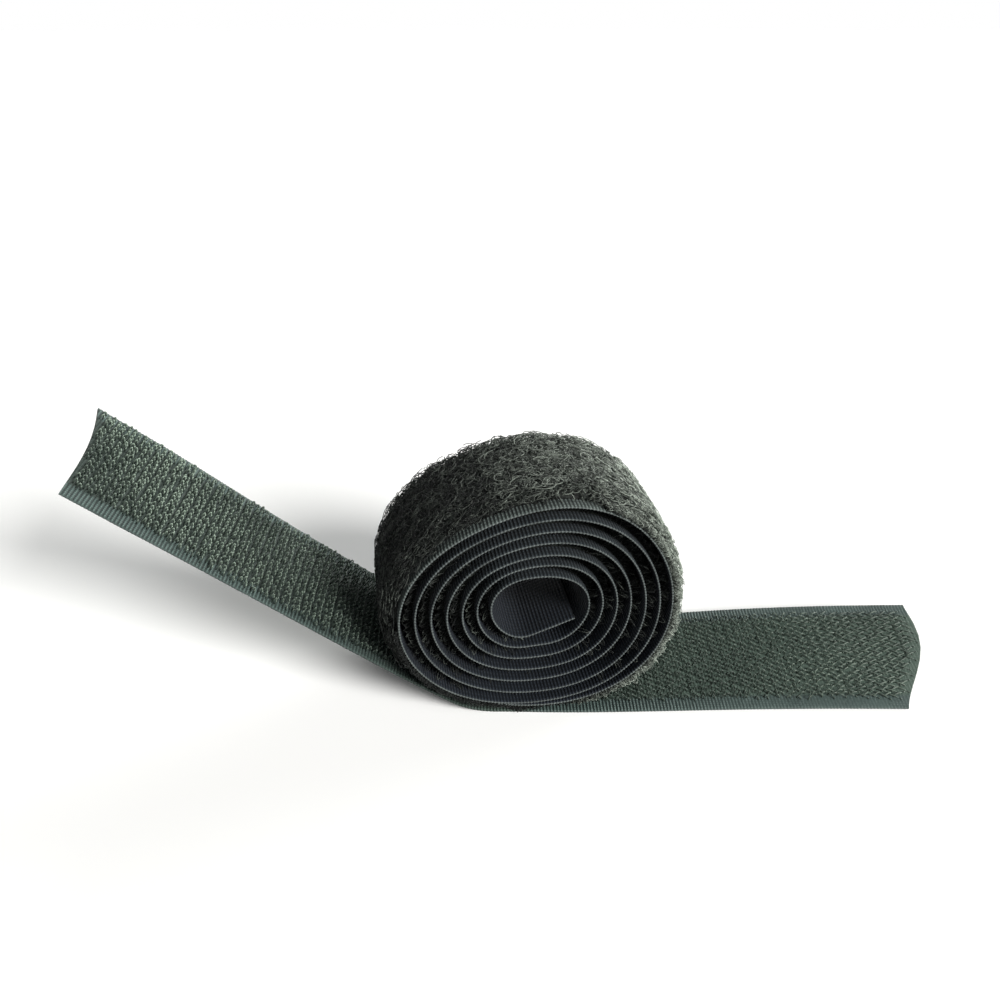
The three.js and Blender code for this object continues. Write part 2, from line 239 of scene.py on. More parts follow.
def cut_length(cut, from_near):
    """Length at which an end is cut: a straight line from the near to the far edge, plus a bow that is a power
    of a parabola across it, fuller towards the far edge."""
    near, far, bow, power = cut
    share = from_near / TAPE_WIDTH
    skewed = share**BOW_SKEW
    return near + (far - near) * share + bow * np.clip(4 * skewed * (1 - skewed), 0, 1) ** power


def make_piece(name, points, faces, material, uv=None, shade=None):
    """Object from points in millimetres and face arrays of any corner counts, turned round if its volume is
    negative."""
    corners = np.concatenate([face.ravel() for face in faces])
    sizes = np.concatenate([np.full(len(face), face.shape[1]) for face in faces])
    starts = np.concatenate(([0], np.cumsum(sizes)[:-1]))
    fans = [
        np.stack([face[:, 0], face[:, k], face[:, k + 1]], -1) for face in faces for k in range(1, face.shape[1] - 1)
    ]
    a, b, c = (points[np.concatenate(fans)[:, k]] for k in range(3))
    if np.einsum("ij,ij->", a, np.cross(b, c)) < 0:
        corners = np.concatenate([face[:, ::-1].ravel() for face in faces])
    mesh = bpy.data.meshes.new(name)
    mesh.vertices.add(len(points))
    mesh.vertices.foreach_set("co", (points * MM).astype(np.float32).ravel())
    mesh.loops.add(len(corners))
    mesh.loops.foreach_set("vertex_index", corners.astype(np.int32))
    mesh.polygons.add(len(sizes))
    mesh.polygons.foreach_set("loop_start", starts.astype(np.int32))
    mesh.update(calc_edges=True)
    mesh.shade_smooth()
    if uv is not None:
        mesh.uv_layers.new(name="tape").data.foreach_set("uv", uv[corners].astype(np.float32).ravel())
    if shade is not None:
        mesh.attributes.new("shade", "FLOAT", "POINT").data.foreach_set("value", shade.astype(np.float32))
    mesh.materials.append(material)
    piece = bpy.data.objects.new(name, mesh)
    bpy.context.collection.objects.link(piece)
    return piece


def sweep_faces(stations, count):
    """Quads between rings of a closed profile carried along stations, and over each end from its upper to its
    lower side. Each profile starts at its near edge, so point k lies opposite point count - k."""
    here = np.arange(stations - 1)[:, None] * count + np.arange(count)[None, :]
    beside = np.arange(stations - 1)[:, None] * count + (np.arange(count)[None, :] + 1) % count
    quads = np.stack([here, beside, beside + count, here + count], -1).reshape(-1, 4)
    k = np.arange(1, count // 2 - 1)
    over = np.stack([k, k + 1, count - k - 1, count - k], -1)
    middle = count // 2
    tips = np.array([[0, 1, count - 1], [middle, middle + 1, middle - 1]])
    last = (stations - 1) * count
    return [quads, over[:, ::-1], last + over, tips[:, ::-1], last + tips]


def tint(red, green, blue):
    """Linear colour of a screen colour given from 0 to 255, by the standard screen curve."""
    screen = np.array([red, green, blue]) / 255
    linear = np.where(screen <= 0.04045, screen / 12.92, ((screen + 0.055) / 1.055) ** 2.4)
    return (*linear, 1.0)


def ranged(tree, value, start, end, at_start=0, at_end=1):
    """Level that runs straight from one value to another while the input goes from the start to the end."""
    return add_node(tree, "MapRange", {0: value, 1: start, 2: end, 3: at_start, 4: at_end}).outputs[0]


def noise(tree, place, scale, detail):
    """Level of a noise texture."""
    return add_node(tree, "TexNoise", {"Vector": place, "Scale": scale, "Detail": detail}).outputs["Fac"]


SHEEN_ROUGHNESS = 0.4


def dress(tree, colour, roughness, gloss, sheen=0, bump=None):
    """Gives the shader its colour, its surface values and, if there is one, its bump."""
    shader = tree.nodes["Principled BSDF"].inputs
    tree.links.new(colour, shader["Base Color"])
    if bump is not None:
        tree.links.new(bump.outputs[0], shader["Normal"])
    shader["Roughness"].default_value = roughness
    shader["Specular IOR Level"].default_value = gloss
    shader["Sheen Weight"].default_value = sheen
    shader["Sheen Roughness"].default_value = SHEEN_ROUGHNESS


# Scale at which a wave texture has waves of 1 mm, where the UV is in millimetres
WAVE_SCALE = np.pi / 10
WEAVE_SHEEN = 0.08
WORN_RUN = 35
WORN_CONTRAST = 0.22
EDGE_BLUR = 0.12
FIELD_EDGE = (9.2, 10.0)
BED_CHANGE = (6, 26)
# Run from the middle over which the painted roll shadow on the edges fades out
ROLL_SHADOW_RUN = (24, 52)


def weave_material(
    name, groove, ridge, edge, inside, edge_at, end_pitch, contrast, beds, bed_cover, edge_roll_shadow, worn_from,
    roughness, gloss,
):
    """Ribbon weave in the tape's own UV, in millimetres: weft ribs along U, warp ends across V, uneven yarn.
    The beds are the colours between the selvedges, near U = 0 and further out; on the hook tape they carry painted
    shade. They hide the ribs by the bed cover, and at the edges near U = 0 by a painted shadow of the roll. Inside
    is the colour of the face with shade 1, which on the loop tape is darkened as painted shade."""
    material, tree = new_material(name)
    uv = add_node(tree, "UVMap", uv_map="tape").outputs[0]
    along, across = add_node(tree, "SeparateXYZ", {0: uv}).outputs[:2]
    rib_wave = {"Vector": uv, "Scale": WAVE_SCALE / RIB_PITCH}
    end_wave = {"Vector": uv, "Scale": WAVE_SCALE / end_pitch, "Distortion": 0.6}
    ribs = add_node(tree, "TexWave", rib_wave, bands_direction="X").outputs["Fac"]
    ends = add_node(tree, "TexWave", end_wave, bands_direction="Y").outputs["Fac"]
    patches = noise(tree, uv, 0.13, 2)

    # Height of the weave: ribs that dip where the warp crosses them, smoother where worn, on uneven yarn
    dips = maths(tree, "MULTIPLY_ADD", ends, 0.55, 0.45)
    cross = maths(tree, "SUBTRACT", maths(tree, "MULTIPLY", ribs, dips), 0.4)
    smooth = ranged(tree, along, worn_from, worn_from + WORN_RUN, contrast, WORN_CONTRAST * contrast)
    knots = maths(tree, "MULTIPLY_ADD", cross, smooth, 0.1)
    uneven = maths(tree, "MULTIPLY_ADD", noise(tree, uv, 1.7, 3), 0.35, knots)
    level = maths(tree, "MULTIPLY_ADD", patches, 0.35, uneven)

    # Colour of each face, darker in the low parts of the weave as painted shade, and a paler beaded line along the
    # very edge, which on the loop tape is a painted highlight
    face = add_node(tree, "Attribute", attribute_name="shade").outputs["Fac"]
    faced = between(tree, face, between(tree, level, groove, ridge), between(tree, level, groove, inside))
    out = maths(tree, "ABSOLUTE", maths(tree, "SUBTRACT", across, TAPE_WIDTH / 2))
    bead = maths(tree, "MULTIPLY_ADD", ribs, 0.3, 0.7)
    patchy_bead = ranged(tree, patches, 0.35, 0.65, 0.55, 1)
    rim = ranged(tree, out, edge_at, edge_at + EDGE_BLUR)
    beads_and_highlight = maths(tree, "MULTIPLY", maths(tree, "MULTIPLY", bead, patchy_bead), rim)
    colour = between(tree, beads_and_highlight, faced, edge)

    # The beds over it, and over the edges near the roll a painted roll shadow
    from_middle = maths(tree, "ABSOLUTE", along)
    bed = between(tree, ranged(tree, from_middle, *BED_CHANGE), *beds)
    under = ranged(tree, out, *FIELD_EDGE, bed_cover, 0)
    roll_shadowed = ranged(tree, from_middle, *ROLL_SHADOW_RUN, edge_roll_shadow, 0)
    colour = between(tree, maths(tree, "MAXIMUM", under, roll_shadowed), colour, bed)
    bump = add_node(tree, "Bump", {"Height": uneven, "Strength": 0.8, "Distance": 0.00018})
    dress(tree, colour, roughness, gloss, WEAVE_SHEEN, bump)
    return material


# Between the standing hooks of the left end the ground is painted dark as shade, and under the pressed ones of
# the right end it shows paler, so that the two sides are shaded and lit copies of one ground. The left edge
# darkens towards the roll as a painted roll shadow.
HOOK_BEDS_LIT_AND_SHADED = {"left": tint(30, 39, 34), "right": tint(66, 80, 71)}
HOOK_EDGE_ROLL_SHADOW = {"left": 0.7, "right": 0}
hook_weaves = {
    side: weave_material(
        f"hook_tape_{side}_weave",
        groove=tint(18, 25, 25),
        ridge=tint(84, 101, 97),
        edge=tint(80, 93, 90),
        inside=tint(80, 90, 90),
        edge_at=12.35,
        end_pitch=0.48,
        contrast=0.85,
        beds=(tint(48, 59, 52), HOOK_BEDS_LIT_AND_SHADED[side]),
        bed_cover=0.82,
        edge_roll_shadow=HOOK_EDGE_ROLL_SHADOW[side],
        worn_from=18,
        roughness=0.6,
        gloss=0.25,
    )
    for side in ("left", "right")
}

# Profile of the ribbon, round from its near edge: how far across, and above (1) or below (-1) its middle
across_top = np.concatenate([[0.12, 0.7, 1.5, 2.3, 3.0], np.linspace(5, 20, 6), [22.0, 22.7, 23.5, 24.3, 24.88]])
strip_across = np.concatenate([[0.0], across_top, [TAPE_WIDTH], across_top[::-1]])
strip_face = np.concatenate([[0], np.ones(len(across_top)), [0], -np.ones(len(across_top))])


def strip_ribbon(cut, towards):
    """Closed ribbon from under the roll to one cut end, with raised weft ribs and scalloped edges. The ribs are
    cosines along the length, lower between the selvedges and where the right end is worn."""
    stations = int(max(cut[:2]) / RIB_PITCH * RIB_STATIONS)
    share = np.linspace(0, 1, stations)[:, None]
    across = np.broadcast_to(strip_across, (stations, len(strip_across)))
    length = towards * share * cut_length(cut, across)
    rib = 0.5 - 0.5 * np.cos(2 * np.pi * length / RIB_PITCH)
    out = np.abs(across - TAPE_WIDTH / 2)
    edge = ramp(out, *EDGE_RAMP)
    point, _, sideways, up = strip_frame(length, across)
    bare = np.where(out > FIELD_HALF, 1, FIELD_RIBS) * (1 - WORN_RIBS * ramp(length, *WORN_RIBS_RAMP))
    height = STRIP_THICKNESS / 2 * (1 + strip_face * (1 - EDGE_THINNING * edge))
    height = height + RIB_RISE * bare * rib * np.maximum(strip_face, 0)
    bulge = EDGE_BULGE * edge**4 * rib * np.sign(across - TAPE_WIDTH / 2)
    point = point + up * height[..., None] + sideways * bulge[..., None]
    uv = np.stack([length, across], -1).reshape(-1, 2)
    under = np.broadcast_to(np.maximum(-strip_face, 0), across.shape).ravel()
    return point.reshape(-1, 3), sweep_faces(stations, len(strip_across)), uv, under


STRIP_PARTS = (
    ("left", LEFT_CUT, -1, "strip_left_end", *LEFT_FOLD, ["hook_tape_left_end_ground", "hook_tape_base_ground"]),
    ("right", RIGHT_CUT, 1, "strip_right_end", *RIGHT_FOLD, ["hook_tape_right_end_ground", "hook_tape_base_ground"]),
)
for side, cut, towards, end_body, start, end, nodes in STRIP_PARTS:
    points, faces, uv, under = strip_ribbon(cut, towards)
    ground = make_piece(f"hook_tape_{side}_weave", points, faces, hook_weaves[side], uv, under)
    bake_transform(ground)
    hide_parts(*nodes)


# ---------------------------------------------------------------- Loop tape, ground weave
# The roll is one length of sew-on loop tape, 25 mm wide and about 0.69 m long, wound by hand into seven
# loose turns round an oval eye. Its ground is the same dense ribbon, with a beaded edge painted pale as a
# highlight. Its inner faces take a bluish back-face colour darkened as painted shade, and the outer faces of its
# inner turns are mixed towards it as painted shade in the gaps.

# Reaches and pitches are given to the right, top, left and bottom of the eye
EYE_REACH = (7.01, 8.95, 6.56, 2.61)
TURN_PITCH = (2.736, 2.111, 2.657, 2.755)
# Dents are given as cosine and sine three times round, and as cosine and sine four times round
EYE_DENTS = (0.16, 0.25, -0.16, 0.06)
ROLL_DENTS = (-0.65, -0.38, 0.14, -0.24)
TURNS = 7.0
OUTER_END = np.radians(250)
OUTER_TUCK = 2.25
OUTER_TUCK_SHARE = 0.5
TAIL_BEND_RADIUS = 4.4
TAIL_TILT = np.radians(20.7)
TAIL_LENGTH = 8.1
WINDING_POINTS = 6001
TAIL_BEND_POINTS = 60
TAIL_POINTS = 40
ROLL_YAW = np.radians(7.4)
ROLL_LEAN = 0.012
EYE_CENTRE_X = -0.86
ROLL_CENTRE_Y = 1.0
EYE_CENTRE_Z = 20.98
# Size, length and shift of each wave
DRIFT_WAVES = ((0.12, 31.0, 0.7), (0.09, 13.3, 2.1))
LOOP_THICKNESS = 0.34
LOOP_RIB_STATIONS = 4
LOOP_RIB_RISE = 0.09
LOOP_EDGE_RAMP = (11.6, 0.9)
LOOP_EDGE_THINNING = 0.1
LOOP_EDGE_BULGE = 0.06
INNER_TURN_PAINTED_SHADE = 0.85
INNER_TURN_RAMP = (0.93, 0.06)


def reach_at(reaches, angle):
    """Reach that eases between its right, top, left and bottom values: a mean and three cosine terms."""
    right, top, left, bottom = reaches
    return (
        (right + top + left + bottom) / 4
        + (right - left) / 2 * np.cos(angle)
        + (top - bottom) / 2 * np.sin(angle)
        + (right + left - top - bottom) / 4 * np.cos(2 * angle)
    )


def dents_at(dents, angle):
    """Uneven part of a reach: cosines and sines that go round three and four times."""
    three, three_side, four, four_side = dents
    thirds = three * np.cos(3 * angle) + three_side * np.sin(3 * angle)
    return thirds + four * np.cos(4 * angle) + four_side * np.sin(4 * angle)


def angle_of(turn):
    """Angle round the eye after a number of turns from the outer end."""
    return OUTER_END + 2 * np.pi * turn


def winding(step):
    """Middle line of the tape from its outer end inwards, at equal steps: a spiral, a round bend and a straight
    tail. Returns the length, the number of turns and the point at each step."""
    turn = np.linspace(0, TURNS, WINDING_POINTS)
    angle = angle_of(turn)
    tuck = OUTER_TUCK * np.maximum(1 - turn / OUTER_TUCK_SHARE, 0) ** 2
    reach = reach_at(EYE_REACH, angle) + reach_at(TURN_PITCH, angle) * (TURNS - turn) - tuck
    reach += dents_at(EYE_DENTS, angle) + dents_at(ROLL_DENTS, angle) * (TURNS - turn) / TURNS
    x, z = reach * np.cos(angle), reach * np.sin(angle)
    heading = np.arctan2(z[-1] - z[-2], x[-1] - x[-2])
    now = np.linspace(heading, TAIL_TILT, TAIL_BEND_POINTS)[1:]
    bend_x = x[-1] + TAIL_BEND_RADIUS * (np.sin(now) - np.sin(heading))
    bend_z = z[-1] + TAIL_BEND_RADIUS * (np.cos(heading) - np.cos(now))
    tail = np.linspace(0, TAIL_LENGTH, TAIL_POINTS)[1:]
    x = np.concatenate([x, bend_x, bend_x[-1] + tail * np.cos(TAIL_TILT)])
    z = np.concatenate([z, bend_z, bend_z[-1] + tail * np.sin(TAIL_TILT)])
    turn = np.concatenate([turn, np.full(len(now) + len(tail), TURNS)])
    run = np.concatenate([[0], np.cumsum(np.hypot(np.diff(x), np.diff(z)))])
    length = np.arange(0, run[-1], step)
    line = np.stack([np.interp(length, run, x), np.interp(length, run, z)], -1)
    return length, np.interp(length, run, turn), line


def outward(line):
    """Direction square to a line, on the side away from the eye."""
    along = np.gradient(line, axis=0)
    along /= np.linalg.norm(along, axis=-1, keepdims=True)
    return np.stack([along[:, 1], -along[:, 0]], -1)


def roll_place(x, y, z):
    """Roll's own coordinates put in the part's frame: leant a little to the left towards the back, as the turns
    have slipped, turned a little about the upright, and moved to the eye."""
    cos, sin = np.cos(ROLL_YAW), np.sin(ROLL_YAW)
    x = x - ROLL_LEAN * (y + TAPE_WIDTH / 2) + EYE_CENTRE_X
    return np.stack([cos * x - sin * y, sin * x + cos * y + ROLL_CENTRE_Y, z + EYE_CENTRE_Z], -1)


def on_winding(line, normal, side, height):
    """Points of a surface that follows the winding, each at a distance across it and a height over its middle."""
    return roll_place(line[:, :1] + normal[:, :1] * height, side, line[:, 1:] + normal[:, 1:] * height).reshape(-1, 3)


def edge_drift(length):
    """Small sideways drift of the winding, a sum of two slow waves."""
    return sum(size * np.sin(length / pitch + shift) for size, pitch, shift in DRIFT_WAVES)


# Its edge is paler than its ridge as a painted highlight on the turns' edges, and its inside colour is a bluish back
# face darkened as painted shade in the gaps.
loop_weave = weave_material(
    "loop_tape_weave",
    groove=tint(10, 12, 14),
    ridge=tint(102, 112, 109),
    edge=tint(128, 136, 134),
    inside=tint(39, 45, 53),
    edge_at=12.42,
    end_pitch=0.85,
    contrast=0.7,
    beds=(tint(40, 46, 46), tint(40, 46, 46)),
    bed_cover=0,
    edge_roll_shadow=0,
    worn_from=900,
    roughness=0.6,
    gloss=0.15,
)
# Profile of the ribbon as that of the strip, but measured from its middle
half_top = np.array([-12.44, -11.8, -10.8, -9.6, -4, 4, 9.6, 10.8, 11.8, 12.44])
loop_side = np.concatenate([[-TAPE_WIDTH / 2], half_top, [TAPE_WIDTH / 2], half_top[::-1]])
loop_face = np.concatenate([[0], np.ones(len(half_top)), [0], -np.ones(len(half_top))])
length, turn, line = winding(RIB_PITCH / LOOP_RIB_STATIONS)
normal = outward(line)
rib = 0.5 - 0.5 * np.cos(2 * np.pi * length / RIB_PITCH)[:, None]
edge = ramp(np.abs(loop_side), *LOOP_EDGE_RAMP)
height = loop_face * LOOP_THICKNESS / 2 * (1 - LOOP_EDGE_THINNING * edge) + LOOP_RIB_RISE * (rib - 0.5) * loop_face
side = loop_side + LOOP_EDGE_BULGE * edge**4 * rib * np.sign(loop_side) + edge_drift(length)[:, None]
points = on_winding(line, normal, side, height)
uv = np.stack(np.broadcast_arrays(length[:, None], loop_side + TAPE_WIDTH / 2), -1).reshape(-1, 2)
# The outer faces of the inner turns are mixed towards the inside colour as painted shade in the gaps
gap_shade = INNER_TURN_PAINTED_SHADE * ramp(turn[:, None], *INNER_TURN_RAMP)
face_and_gap_shade = np.where(loop_face < 0, 1.0, gap_shade).ravel()
faces = sweep_faces(len(length), len(loop_side))
loop_ground = make_piece("loop_tape_weave", points, faces, loop_weave, uv, face_and_gap_shade)
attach(loop_ground, "loop_roll")
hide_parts("loop_tape_ground")


# ---------------------------------------------------------------- Pile, matted base
# The pile is a brushed mat of very fine nylon loops knitted through the ground between the selvedges. Its roots
# lie so close that they are drawn as one lumpy layer under the loops that stand out, painted dark as shade deep
# in the pile and painted lighter on the right of the outermost turn. Between the inner turns the layer fills the
# gap, except near the edges.
FREE_PILE = 3.0
PILE_HALF = 9.9
PILE_SWELL = 0.6
LEFT_SWELL_TURN = 0.3
RIGHT_SWELL_TURN = 0.2
TURN_CLEAR = 0.15
STRIP_CLEAR = 0.1
LEAST_PILE = 0.15
STRIP_REACH = np.linspace(-60, 40, 500)
MAT_STEP = 0.62
MAT_POINTS = 25
MAT_RIM = 0.1
MAT_LIFT = 0.02
MAT_SHARE = 0.3
OUTER_MAT_SHARE = 0.42
LUMP_SHARE = 0.24
LUMP_SIZE = 2.4
LUMP_SEED = 5
LUMP_WAVES = 7
LUMP_PITCHES = (0.7, 1.5)
MAT_EDGE_RAMP = (PILE_HALF, -0.8)
LEAST_MAT = 0.1
PACKED_RAMP = (8.0, -1.5)
ANY_PHASE = 6.28
PILE_SHEEN = 0.06


def pile_room(turn, line):
    """Height that the pile has at each station: free outside, the space up to the next turn, or up to the strip.
    Free pile swells on the left and the right as a cosine."""
    angle = angle_of(turn)
    tuck = OUTER_TUCK * np.maximum(1 - np.maximum(turn - 1, 0) / OUTER_TUCK_SHARE, 0) ** 2
    gap = reach_at(TURN_PITCH, angle) - tuck - LOOP_THICKNESS - TURN_CLEAR
    strip_x, strip_z, slope = strip_line(STRIP_REACH)
    strip_x, strip_z = strip_x + STRIP_THICKNESS * np.sin(slope), strip_z + STRIP_THICKNESS * np.cos(slope)
    line_x, line_z = line[:, :1] * np.cos(ROLL_YAW) + EYE_CENTRE_X, line[:, 1:] + EYE_CENTRE_Z
    over_strip = np.hypot(line_x - strip_x, line_z - strip_z).min(1) - LOOP_THICKNESS / 2 - STRIP_CLEAR
    swell = np.clip(-np.cos(angle + LEFT_SWELL_TURN), 0, 1) + np.clip(np.cos(angle + RIGHT_SWELL_TURN), 0, 1)
    outside = np.minimum(FREE_PILE + PILE_SWELL * swell, over_strip)
    return np.maximum(np.where(turn < 1, outside, np.minimum(gap, FREE_PILE)), LEAST_PILE)


def lumps(u, v, size, seed):
    """Even, rounded lumps from 0 to 1 over a surface: the mean of waves in several seeded directions."""
    waves = np.random.default_rng(seed)
    total = np.zeros(np.broadcast(u, v).shape)
    for _ in range(LUMP_WAVES):
        heading, shift = waves.uniform(0, np.pi), waves.uniform(0, ANY_PHASE)
        pitch = size * waves.uniform(*LUMP_PITCHES)
        total += np.sin(2 * np.pi * (u * np.cos(heading) + v * np.sin(heading)) / pitch + shift)
    return np.clip(0.5 + total / LUMP_WAVES, 0, 1)


def pile_material(name, dark, light, low, high):
    """Fine nylon fibre: the shade attribute, which carries painted light and shade, and uneven patches lead from
    dark to light, with a soft sheen.
    """
    material, tree = new_material(name)
    place = add_node(tree, "TexCoord").outputs["Object"]
    strand = add_node(tree, "Attribute", attribute_name="shade").outputs["Fac"]
    fuzz = noise(tree, place, 2600, 4)
    patched = maths(tree, "MULTIPLY_ADD", noise(tree, place, 240, 3), 0.5, strand)
    grain = maths(tree, "MULTIPLY_ADD", fuzz, 0.6, patched)
    bump = add_node(tree, "Bump", {"Height": fuzz, "Strength": 0.8, "Distance": 0.0003})
    dress(tree, between(tree, ranged(tree, grain, low, high), dark, light), 0.6, 0.15, PILE_SHEEN, bump)
    return material


# The mat's colours run dark, as painted shade deep in the pile
pile_mat = pile_material("pile_mat", tint(8, 10, 9), tint(40, 46, 42), 0.65, 1.7)
mat_outer = np.linspace(-PILE_HALF, PILE_HALF, MAT_POINTS)
mat_side = np.concatenate([[-PILE_HALF - MAT_RIM], mat_outer, [PILE_HALF + MAT_RIM], mat_outer[::-1]])
mat_face = np.concatenate([[0], np.ones(MAT_POINTS), [0], np.zeros(MAT_POINTS)])
mat_length, mat_turn, mat_line = winding(MAT_STEP)
lump = lumps(mat_length[:, None], mat_side, LUMP_SIZE, LUMP_SEED)
fade = np.maximum(ramp(np.abs(mat_side), *MAT_EDGE_RAMP), LEAST_MAT)
room = pile_room(mat_turn, mat_line)
share = np.where(mat_turn < 1, OUTER_MAT_SHARE, MAT_SHARE)[:, None]
packed = ramp(np.abs(mat_side), *PACKED_RAMP) * (mat_turn[:, None] >= 1)
fill = (share + LUMP_SHARE * lump) * (1 - packed) + packed
mat_height = LOOP_THICKNESS / 2 + MAT_LIFT + mat_face * fade * room[:, None] * fill
# Lighter on the right of the outermost turn, as painted light
painted_right_light = 1 + np.clip(np.cos(angle_of(mat_turn[:, None])), 0, 1) ** 4 * (mat_turn[:, None] < 1)
side = np.broadcast_to(mat_side, lump.shape) + edge_drift(mat_length)[:, None]
points = on_winding(mat_line, outward(mat_line), side, mat_height)
faces = sweep_faces(len(mat_length), len(mat_side))
pile_base = make_piece("loop_tape_pile_mat", points, faces, pile_mat, shade=(lump * mat_face * painted_right_light).ravel())
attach(pile_base, "loop_roll")
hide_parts("loop_tape_pile")


# ---------------------------------------------------------------- Pile, standing and lying loops
# Above the mat the loops stand as small open rings of fine filament, in loose tufts, and over them lie longer
# curls that handling has pulled flat. Between the turns the loops curl in the gaps at both edges, and round the
# bottom and the right of the outermost turn they hang over its near selvedge.
LOOP_SEED = 29
LOOP_THREAD = 0.065
CURL_THREAD = 0.078
LOOP_RINGS = 9
LOOP_SIDES = 3
PROBE = 0.1
LEAST_BRIGHT = 0.3
MORE_BRIGHT = 0.56
SHADED_ROOT_BRIGHT = 0.45
# Standing loops: how far they are cut short at their feet, and how they open, narrow and curl
LOOP_FOOT = 0.02
OPENED_SHARE = 0.4
LEAST_OPENED = 0.4
OPENED_SWING = 0.7
OPENED_SPREAD = 1.7
NARROW_FOOT = 0.6
LOOP_CURL = 0.22
LOOP_CURL_WAVES = (0.5, 1.5)
# Lying curls: how far they go round, swell, are squeezed and tilt
CURL_SWEEP = (2.2, 5.2)
CURL_SWELL = 0.3
CURL_SQUEEZE = (0.4, 1)
CURL_TILT = (0.06, 0.26)
TILTED_REACH = 0.9


def tube_faces(tubes, rings, sides):
    """Quads along many like tubes, and one face over each of their ends."""
    first = np.arange(tubes)[:, None, None] * rings * sides
    ring = np.arange(rings - 1)[None, :, None] * sides
    turn, beside = np.arange(sides), (np.arange(sides) + 1) % sides
    a, b = first + ring + turn, first + ring + beside
    quads = np.stack([a, b, b + sides, a + sides], -1).reshape(-1, 4)
    start = first[:, 0] + turn[::-1]
    end = first[:, 0] + (rings - 1) * sides + turn
    return [quads, np.concatenate([start, end])]


def tubes_along(paths, planes, radius, sides):
    """Tube round each path, whose rings stand square to it: one direction is the path's own plane's normal."""
    heading = np.gradient(paths, axis=1)
    heading /= np.linalg.norm(heading, axis=-1, keepdims=True)
    first = np.cross(heading, planes[:, None, :])
    first /= np.linalg.norm(first, axis=-1, keepdims=True)
    second = np.cross(heading, first)
    angle = 2 * np.pi * np.arange(sides) / sides
    ring = first[:, :, None] * np.cos(angle)[:, None] + second[:, :, None] * np.sin(angle)[:, None]
    return (paths[:, :, None] + radius * ring).reshape(-1, 3)


def wound(at, across, height):
    """Points at a length along the winding, a distance across it and a height over its middle."""
    place = [np.interp(at, length, line[:, k]) for k in (0, 1)]
    out = [np.interp(at, length, normal[:, k]) for k in (0, 1)]
    size = np.hypot(*out)
    return roll_place(place[0] + out[0] / size * height, across, place[1] + out[1] / size * height)


def strands(at, across, forward, sideways, up, plane, thread, pale, chance):
    """Tubes along paths given as offsets along, across and above the roots, each with its plane's normal.
    Each strand has its own brightness, which grows with its height as painted shade that darkens it towards its
    root. No strand goes below the floor."""
    side = across[:, None] + sideways + edge_drift(at)[:, None]
    height = LOOP_THICKNESS / 2 + up
    paths = wound(at[:, None] + forward, side, height)
    ahead, aside, above = (PROBE * part for part in plane)
    root = wound(at, side[:, 0], height[:, 0])
    normals = wound(at + ahead, side[:, 0] + aside, height[:, 0] + above) - root
    paths[..., 2] = np.maximum(paths[..., 2], thread)
    own = LEAST_BRIGHT + MORE_BRIGHT * chance.random(len(at))[:, None] ** 2
    shade = np.reshape(pale, (-1, 1)) * own * (SHADED_ROOT_BRIGHT + (1 - SHADED_ROOT_BRIGHT) * up / up.max(1, keepdims=True))
    tubes = tubes_along(paths, normals, thread, LOOP_SIDES)
    return tubes, tube_faces(len(at), LOOP_RINGS, LOOP_SIDES), np.repeat(shade.ravel(), LOOP_SIDES)


def standing(at, across, tall, wide, lean_along, lean_across, pale, chance):
    """Loops: height rises as half a cosine, width swings as a sine, and both lean and curl with height.
    Some are pulled open, so that their two feet stand apart and they lie as a low arch."""
    count = len(at)
    t = np.linspace(LOOP_FOOT, 1 - LOOP_FOOT, LOOP_RINGS)[None, :]
    rise = 0.5 - 0.5 * np.cos(2 * np.pi * t)
    heading = chance.uniform(0, np.pi, count)[:, None]
    is_opened = chance.random(count) < OPENED_SHARE
    opened = np.where(is_opened, chance.uniform(LEAST_OPENED, 1, count), 0)[:, None]
    swing = -0.5 * np.sin(2 * np.pi * t) * wide[:, None]
    swing = swing * (NARROW_FOOT + (1 - NARROW_FOOT) * rise) * (1 - OPENED_SWING * opened)
    swing += OPENED_SPREAD * opened * wide[:, None] * (t - 0.5)
    waves, shift = chance.uniform(*LOOP_CURL_WAVES, count)[:, None], chance.uniform(0, ANY_PHASE, count)[:, None]
    curl = LOOP_CURL * wide[:, None] * np.sin(2 * np.pi * t * waves + shift)
    up = rise * tall[:, None]
    forward = swing * np.cos(heading) - curl * np.sin(heading) + lean_along[:, None] * up
    sideways = swing * np.sin(heading) + curl * np.cos(heading) + lean_across[:, None] * up
    plane = (-np.sin(heading[:, 0]), np.cos(heading[:, 0]), np.zeros(count))
    return strands(at, across, forward, sideways, up, plane, LOOP_THREAD, pale, chance)


